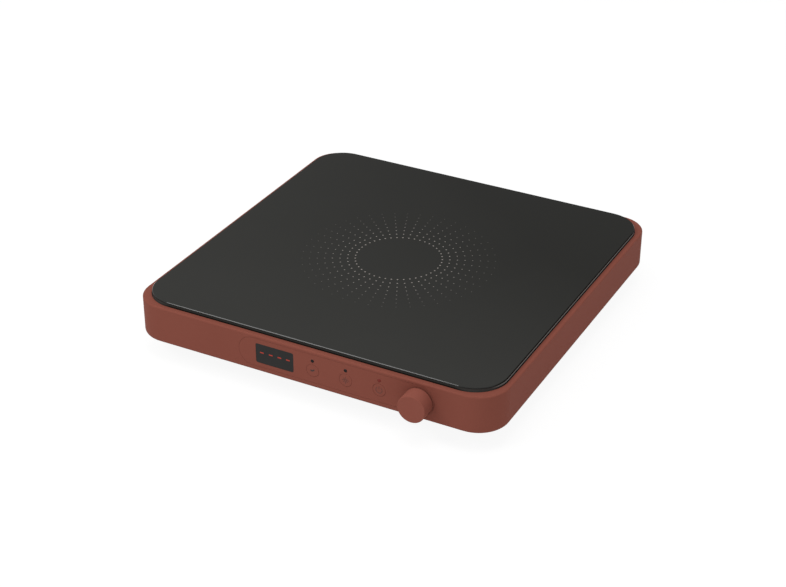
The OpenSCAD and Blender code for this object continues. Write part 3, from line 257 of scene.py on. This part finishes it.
# Cooling fan: an axial fan in black plastic over the intake grille. Its cup and blades are one
# moulding, polished by its mould, and turn on a pin round the copper-wound stator.
dress(moulding("fan_plastic", (30, 30, 31), (40, 40, 41), 1900.0, 0.00003, 0.5), "fan_frame")
dress(moulding("blade_plastic", (22, 22, 23), (31, 31, 32), 1200.0, 0.00002, 0.38), "fan_rotor")


def twisted_wire(name, low, high, centre, lay, pitch):
    """Enamelled copper: bright strands that lie aslant round the winding's own centre."""
    made, start, shader, place = blank(name, {"Metallic": 0.85})
    shift = (-centre.x, -centre.y, 0.0)
    spot = start.node("Mapping", {"vector_type": "POINT"}, {"Vector": place, "Location": shift})
    across, along, up = (start.node("SeparateXYZ", inputs={"Vector": spot}, out=axis) for axis in "XYZ")
    angle = start.math("ARCTAN2", along, across)
    radius = start.node("VectorMath", {"operation": "LENGTH"}, {0: spot}, "Value")
    strand = start.math("SINE", angle * lay + radius * pitch + up * pitch) * 0.5 + 0.5
    fleck = start.node("TexNoise", inputs={"Vector": place, "Scale": 700.0, "Detail": 3.0})
    start.feed(
        shader,
        Base_Color=(strand * 0.7 + fleck * 0.3).blend(shade(*low), shade(*high)),
        Roughness=0.5 - strand * 0.16,
        Normal=start.node("Bump", inputs={"Strength": 0.6, "Distance": 0.0001, "Height": strand}),
    )
    return made


def middle(name):
    """The middle of a CAD node's box."""
    low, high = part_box(name)
    return (low + high) / 2


stator_wire = twisted_wire("stator_wire", (120, 66, 30), (196, 122, 68), middle("fan_stator"), 36.0, 5200.0)
dress(stator_wire, "fan_stator")


# Circuit boards: glass-fibre sheet under green solder mask, with copper tracks that show through
# as paler lines and small tinned pads. They are screwed to the pan's and the front wall's posts.
def circuit(name, flat):
    """Solder mask over tracks: a grid of paler lines, broken up by noise, with bright round pads."""
    made, start, shader, place = blank(name, {"Specular IOR Level": 0.5})
    spot = start.node("Mapping", inputs={"Vector": place, "Rotation": flat})
    weave = start.node("TexNoise", inputs={"Vector": place, "Scale": 160.0, "Detail": 2.0})
    track = start.node("TexBrick", inputs={
        "Vector": spot, "Scale": 60.0, "Mortar Size": 0.035, "Mortar Smooth": 0.2, "Brick Width": 0.7,
        "Row Height": 0.22}, out="Fac") * (weave > 0.45)
    pad = start.node("TexVoronoi", inputs={"Vector": spot, "Scale": 210.0, "Randomness": 0.8}) < 0.16
    mask = track.blend(shade(24, 74, 44), shade(52, 118, 74))
    start.feed(
        shader,
        Base_Color=pad.blend(mask, shade(190, 192, 188)),
        Metallic=pad * 0.9,
        Roughness=0.36 + weave * 0.1,
        Normal=start.node("Bump", inputs={"Strength": 0.3, "Distance": 0.00004, "Height": track + pad}),
    )
    return made


dress(circuit("power_mask", (0.0, 0.0, 0.0)), "power_board")
dress(circuit("control_mask", (math.pi / 2, 0.0, 0.0)), "control_board")


# Heat sink: an aluminium extrusion, sawn to length, with draw lines that run along its fins. The
# two power devices are clamped under its base.
def drawn(name, low, high, stretch):
    """Extruded metal: long draw lines and a dull oxide drift."""
    made, start, shader, place = blank(name, {"Metallic": 1.0})
    pulled = start.node("Mapping", inputs={"Vector": place, "Scale": stretch})
    lines = start.node("TexNoise", inputs={"Vector": pulled, "Scale": 1400.0, "Detail": 2.0})
    oxide = start.node("TexNoise", inputs={"Vector": place, "Scale": 90.0, "Detail": 3.0})
    start.feed(
        shader,
        Base_Color=(lines * 0.5 + oxide * 0.5).blend(shade(*low), shade(*high)),
        Roughness=0.34 + oxide * 0.14 + lines * 0.06,
        Normal=start.node("Bump", inputs={"Strength": 0.25, "Distance": 0.00003, "Height": lines}),
    )
    return made


dress(drawn("sink_aluminium", (168, 170, 173), (206, 208, 211), (0.03, 1.0, 1.0)), "heat_sink")
dress(moulding("package_epoxy", (27, 27, 29), (38, 38, 40), 3200.0, 0.00002, 0.48),
      "power_transistor", "bridge_rectifier", "buzzer", "switch_bodies")

# Capacitors, transformer, choke and fuse: film capacitors in potted boxes, electrolytic cans in
# shrink sleeve, a taped transformer, a wound ring and a glass fuse in brass clips, all soldered in.
dress(moulding("film_box_yellow", (186, 150, 48), (206, 172, 66), 900.0, 0.00002, 0.34), "filter_capacitor")
dress(moulding("film_box_blue", (48, 84, 134), (64, 104, 156), 900.0, 0.00002, 0.34), "resonant_capacitor")
dress(moulding("can_sleeve", (32, 40, 62), (44, 54, 80), 700.0, 0.00002, 0.3), "supply_capacitors")
dress(moulding("core_tape", (196, 176, 74), (222, 204, 104), 500.0, 0.00003, 0.4), "supply_transformer")
choke_wire = twisted_wire("choke_wire", (118, 62, 26), (190, 112, 58), middle("line_choke"), 44.0, 0.0)
dress(choke_wire, "line_choke")
dress(plated("clip_brass", (170, 140, 70), (206, 180, 110), 0.3), "coil_terminals", "fuse")
dress(moulding("terminal_nylon", (206, 206, 200), (222, 222, 217), 1400.0, 0.00002, 0.45), "mains_terminal")

# Ribbon cable: a flat grey cable between the two boards, its wires side by side under one skin.
# It is pushed into a plug at each end.
wire_pitch = 0.00127
ribbon_skin, start, shader, place = blank("ribbon_skin", {"Specular IOR Level": 0.4})
across = start.node("SeparateXYZ", inputs={"Vector": place}, out="X")
wires = start.math("SINE", across * (2 * math.pi / wire_pitch))
start.feed(
    shader,
    Base_Color=(wires * 0.5 + 0.5).blend(shade(128, 132, 138), shade(164, 168, 174)),
    Roughness=0.5 + wires * 0.05,
    Normal=start.node("Bump", inputs={"Strength": 0.8, "Distance": 0.0003, "Height": wires}),
)
dress(ribbon_skin, "ribbon_cable")

# Coil: a flat spiral of stranded, enamelled copper on an ivory former, with eight ferrite bars below
# to lead the field and a mica sheet above against the heat. Three screws hold it to the pan's posts.
coil_centre = middle("coil_insulation")
dress(twisted_wire("coil_wire", (128, 74, 34), (204, 132, 74), coil_centre, 160.0, 4200.0), "coil_winding")
dress(moulding("former_plastic", (196, 188, 170), (214, 207, 190), 1500.0, 0.00004, 0.55),
      "coil_former", "cord_clamp")
dress(moulding("sensor_silicone", (184, 184, 178), (202, 202, 196), 1100.0, 0.00003, 0.6),
      "temperature_sensor")
dress(moulding("ferrite_body", (44, 42, 42), (66, 63, 62), 2200.0, 0.0001, 0.72), "ferrite_bars")
mica_sheet, start, shader, place = blank("mica_sheet", {"Specular IOR Level": 0.5})
flake = start.node("TexVoronoi", inputs={"Vector": place, "Scale": 240.0}, out="Color")
flake_tone = start.node("SeparateColor", inputs={"Color": flake})
start.feed(
    shader,
    Base_Color=flake_tone.blend(shade(176, 158, 112), shade(214, 200, 158)),
    Roughness=0.3 + flake_tone * 0.3,
)
dress(mica_sheet, "coil_insulation")

# Housing, panel, buttons and knob: moulded in terracotta plastic with a very fine, even grain, left
# matt; the knob is painted a shade paler, as painted light on its shaded sides. The panel is let into
# the front wall, and the buttons stand in its round holes.
terracotta = moulding("terracotta_plastic", (128, 72, 60), (138, 80, 68), 3000.0, 0.00003, 0.62, 0.03)
dress(terracotta, "housing", "control_panel", "button_timer", "button_boost", "button_power")
# The knob's paler colours are painted light: they lift its sides, which the front wall shades.
dress(moulding("knob_plastic_painted_lighter", (135, 77, 65), (145, 85, 73), 3000.0, 0.00003, 0.62, 0.03), "knob")

# Button marks: a clock's hands in dark grey, and a star and a power sign in a darker shade of the
# plastic, pad-printed on the round buttons. Each print moves with its button.
ink_sink, ink_rise = 0.00002, 0.00003


def pad_ink(name, low, high, rough):
    """A matt ink, a little uneven where the pad left less of it."""
    made, start, shader, place = blank(name, {"Roughness": rough, "Specular IOR Level": 0.3})
    worn = start.node("TexNoise", inputs={"Vector": place, "Scale": 1800.0, "Detail": 2.0})
    start.feed(shader, Base_Color=worn.blend(shade(*low), shade(*high)))
    return made


def print_bar(mesh, face, length, width, angle, shift=0.0):
    """A printed bar on a front face: it starts shift from the middle and runs outwards at the angle."""
    place = Matrix.Translation(face) @ Matrix.Rotation(-angle, 4, "Y")
    size = Matrix.Diagonal((length, ink_sink + ink_rise, width, 1.0))
    middle_of = Matrix.Translation((shift + length / 2, (ink_sink - ink_rise) / 2, 0.0))
    bmesh.ops.create_cube(mesh, size=1.0, matrix=place @ middle_of @ size)


def print_ring(mesh, face, radius, width, gap):
    """A printed ring on a front face, open by the gap angle at its top, spun from its cross-section."""
    inner, outer = radius - width / 2, radius + width / 2
    corners = ((inner, ink_sink), (outer, ink_sink), (outer, -ink_rise), (inner, -ink_rise))
    begin = Matrix.Translation(face) @ Matrix.Rotation(-(math.pi + gap) / 2, 4, "Y")
    section = mesh.faces.new([mesh.verts.new(begin @ Vector((x, y, 0.0))) for x, y in corners])
    # The copy stays where it is and closes the ring's first end.
    section.copy()
    bmesh.ops.spin(
        mesh, geom=[section], cent=face, axis=(0.0, -1.0, 0.0), angle=2 * math.pi - gap, steps=34)
    bmesh.ops.remove_doubles(mesh, verts=mesh.verts, dist=1e-7)


def new_piece(name, mesh, material, body):
    """Closes a bmesh as a piece of the hob that rides on a body."""
    bmesh.ops.recalc_face_normals(mesh, faces=mesh.faces)
    data = bpy.data.meshes.new(name)
    mesh.to_mesh(data)
    mesh.free()
    data.materials.append(material)
    piece = bpy.data.objects.new(name, data)
    scene.collection.objects.link(piece)
    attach(piece, body)


def button_face(name):
    """The middle of a button's front face."""
    low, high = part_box(name)
    return Vector(((low.x + high.x) / 2, low.y, (low.z + high.z) / 2))


mark_ink = pad_ink("mark_ink", (80, 44, 37), (94, 52, 44), 0.6)
hand_ink = pad_ink("hand_ink", (30, 32, 34), (42, 44, 45), 0.5)

long_hand, short_hand, hand_w = 0.0023, 0.0013, 0.0009
hub = button_face("button_timer") + Vector((-0.0004, 0.0, -0.0005))
hands = bmesh.new()
print_bar(hands, hub, long_hand, hand_w, math.radians(38))
print_bar(hands, hub, short_hand, hand_w, math.radians(140))
new_piece("timer_mark", hands, hand_ink, "timer_button")

star_points, long_point, short_point, point_w, star_hole = 8, 0.0023, 0.0017, 0.0004, 0.0005
face = button_face("button_boost")
star = bmesh.new()
for k in range(star_points):
    length = short_point if k % 2 else long_point
    print_bar(star, face, length, point_w, 2 * math.pi * k / star_points, star_hole)
new_piece("boost_mark", star, mark_ink, "boost_button")

sign_r, sign_bar, sign_w, sign_hole, sign_gap = 0.0023, 0.0023, 0.0005, 0.0006, math.radians(70)
face = button_face("button_power")
sign = bmesh.new()
print_ring(sign, face, sign_r, sign_w, sign_gap)
print_bar(sign, face, sign_bar, sign_w, math.pi / 2, sign_hole)
new_piece("power_mark", sign, mark_ink, "power_button")

# Display: a smoked acrylic window, polished and let in flush, in front of a red LED module. At rest
# the module shows four short dashes, one in each digit place.
smoke, start, shader, place = blank("smoked_acrylic", {"Specular IOR Level": 0.15})
haze = start.node("TexNoise", inputs={"Vector": place, "Scale": 120.0, "Detail": 3.0})
start.feed(
    shader,
    Base_Color=haze.blend(shade(33, 32, 31), shade(40, 39, 38)),
    Roughness=0.14 + haze * 0.08,
)
dress(smoke, "display_window")
dress(moulding("module_plastic", (24, 24, 25), (34, 34, 35), 1800.0, 0.00002, 0.5), "display_module")


def glowing(name, low, high, strength, rough, level, cloud):
    """Tinted resin, a little cloudy, with a faint glow of its own colour."""
    made, start, shader, place = blank(name, {
        "Roughness": rough, "Emission Strength": strength, "Specular IOR Level": level})
    tone = start.node("TexNoise", inputs={"Vector": place, "Scale": cloud, "Detail": 2.0})
    tint = tone.blend(shade(*low), shade(*high))
    start.feed(shader, Base_Color=tint, Emission_Color=tint)
    return made


lit = glowing("lit_segment", (160, 48, 36), (176, 60, 46), 0.12, 0.4, 0.15, 900.0)
dash_middles = (-0.0331, -0.0261, -0.0193, -0.0127)
dash_w, dash_h, dash_drop = 0.0029, 0.0009, 0.01245
pane_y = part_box("display_window")[0].y
dash_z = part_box("housing")[1].z - dash_drop
dashes = bmesh.new()
for x in dash_middles:
    print_bar(dashes, Vector((x - dash_w / 2, pane_y, dash_z)), dash_w, dash_h, 0.0)
new_piece("display_dashes", dashes, lit, "chassis")

# Indicator lights: tinted acrylic pipes pushed into the front wall over each button, with LED
# packages behind them on the board. The power light glows a dim red.
dark_lens = glowing("dark_lens", (16, 14, 15), (24, 21, 22), 0.0, 0.2, 0.12, 1500.0)
dress(dark_lens, "indicator_timer", "indicator_boost")
dress(glowing("red_lens", (106, 34, 27), (120, 44, 35), 0.08, 0.2, 0.12, 1500.0), "indicator_power")
dress(moulding("led_resin", (226, 212, 160), (238, 226, 184), 900.0, 0.00001, 0.3), "indicator_leds")

# Switch plungers and encoder can: a grey nylon plunger stands behind each button in its push switch,
# and the knob's encoder sits in a passivated steel can that is nutted to the front wall.
dress(moulding("plunger_plastic", (132, 134, 138), (150, 152, 156), 1500.0, 0.00002, 0.5),
      "plunger_timer", "plunger_boost", "plunger_power")
dress(plated("encoder_can", (120, 132, 104), (150, 160, 134), 0.4), "encoder_body")

# Seal: a bead of dark silicone, laid from a nozzle on the housing's ledge. It beds the glass and
# fills its rim gap; its near-black colour is partly painted shade, for the shadow in that gap.
dress(moulding("seal_silicone_and_gap_shade", (20, 20, 19), (28, 28, 27), 700.0, 0.00003, 0.65, 0.3), "glass_seal")

# Glass: a 4 mm sheet of dark glass-ceramic, polished on top, with a bevel that catches the key light
# along the front. Its ground side is painted paler round the corners as painted light, carries a painted
# reflection line along the right, and is painted dark at its foot as painted shade in the rim gap. The top
# is painted darker towards the rear right as a painted light falloff, and its tone and gloss drift, as rolled
# glass does.
glass, start, shader, place = blank("dark_glass", {
    "Specular IOR Level": 0.012, "Coat IOR": 1.5, "Coat Roughness": 0.12})
glass_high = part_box("glass_top")[1]
drift = start.node("TexNoise", inputs={"Vector": place, "Scale": 9.0, "Detail": 3.0})
speck = start.node("TexNoise", inputs={"Vector": place, "Scale": 2400.0, "Detail": 2.0})
across, along, height = (start.node("SeparateXYZ", inputs={"Vector": place}, out=axis) for axis in "XYZ")
depth = glass_high.z - height
flat_depth, bevel_depth, side_mm = 0.00003, 0.00042, 3.2
edge = depth > flat_depth
bevel = edge * (depth < bevel_depth)
# Where the painted reflection line along the right and the painted paler corners go.
right_run, corner_run, corner_reach = 0.005, 0.010, 0.027
inset = glass_high.x - start.math("ABSOLUTE", across)
right = ((across - glass_high.x) / right_run + 1.0).held()
corner = ((corner_reach - inset) / corner_run).held()


def side_tone(*stops):
    """The glass's side from its top edge down: pairs of a depth in mm and a grey, which hold painted light
    and painted shade.
    """
    greys = [(mm / side_mm, shade(grey, grey, grey - 2)) for mm, grey in stops]
    return start.node("ValToRGB", {"stops": greys}, {"Fac": depth * (1000.0 / side_mm)})


# The side's greys: the front falls to painted shade at its foot, the corners are painted paler as painted
# light, and the right has a painted reflection line between dark bands and painted shade at its foot.
front_side_with_painted_gap_shade = side_tone((0.42, 21), (0.55, 45), (2.0, 58), (2.6, 27))
corner_side_painted_paler = side_tone((0.42, 20), (0.7, 50), (1.4, 70), (3.0, 74))
right_side_painted_line_and_gap_shade = side_tone((0.55, 16), (0.95, 44), (1.3, 134), (1.9, 134), (2.4, 44), (2.9, 26))
# Painted light falloff: the top is painted darker towards the rear right, as if the key light fell off there.
painted_light_falloff = 0.5 - across * 3.3 - along * (7.0 + across * 22.0)
top_tone = (painted_light_falloff * 0.6 + drift * 0.28 + speck * 0.12).held().blend(shade(41, 41, 39), shade(54, 54, 52))
start.feed(
    shader,
    Base_Color=edge.blend(top_tone, right.blend(corner.blend(front_side_with_painted_gap_shade, corner_side_painted_paler), right_side_painted_line_and_gap_shade)),
    Roughness=0.1 + drift * 0.06 + speck * 0.03,
    Coat_Weight=bevel * (1.0 - right) * 0.65,
)
dress(glass, "glass_top")

# Cooking zone: rings of small enamel dots screen-printed on the glass, 45 to a ring. They shrink
# and fade outwards from the middle of the coil.
zone = Vector((0.0, 0.001, glass_high.z))
rays, rings, first_r, ring_step = 45, 8, 0.0315, 0.0055
dot_r, dot_shrink, dot_taper = 0.0006, 0.00028, 0.00002
dot_middle = zone + Vector((0.0, 0.0, (ink_rise - ink_sink) / 2))
dots = bmesh.new()
for ring in range(rings):
    foot_r = dot_r - dot_shrink * ring / (rings - 1)
    for ray in range(rays):
        angle = 2 * math.pi * ray / rays
        spot = Vector((math.cos(angle), math.sin(angle), 0.0)) * (first_r + ring * ring_step)
        bmesh.ops.create_cone(
            dots, cap_ends=True, segments=10, radius1=foot_r, radius2=foot_r - dot_taper,
            depth=ink_sink + ink_rise, matrix=Matrix.Translation(dot_middle + spot))
enamel, start, shader, place = blank("dot_enamel", {"Roughness": 0.5, "Specular IOR Level": 0.2})
spot = start.node("Mapping", inputs={"Vector": place, "Location": tuple(-zone)})
radius = start.node("VectorMath", {"operation": "LENGTH"}, {0: spot}, "Value")
fade = (radius - first_r) / (ring_step * rings)
patchy = start.node("TexNoise", inputs={"Vector": place, "Scale": 1600.0, "Detail": 2.0})
dot_tone = start.math("MINIMUM", fade * 0.85 + patchy * 0.15, 1.0)
start.feed(shader, Base_Color=dot_tone.blend(shade(148, 141, 136), shade(56, 55, 53)))
new_piece("zone_dots", dots, enamel, "chassis")
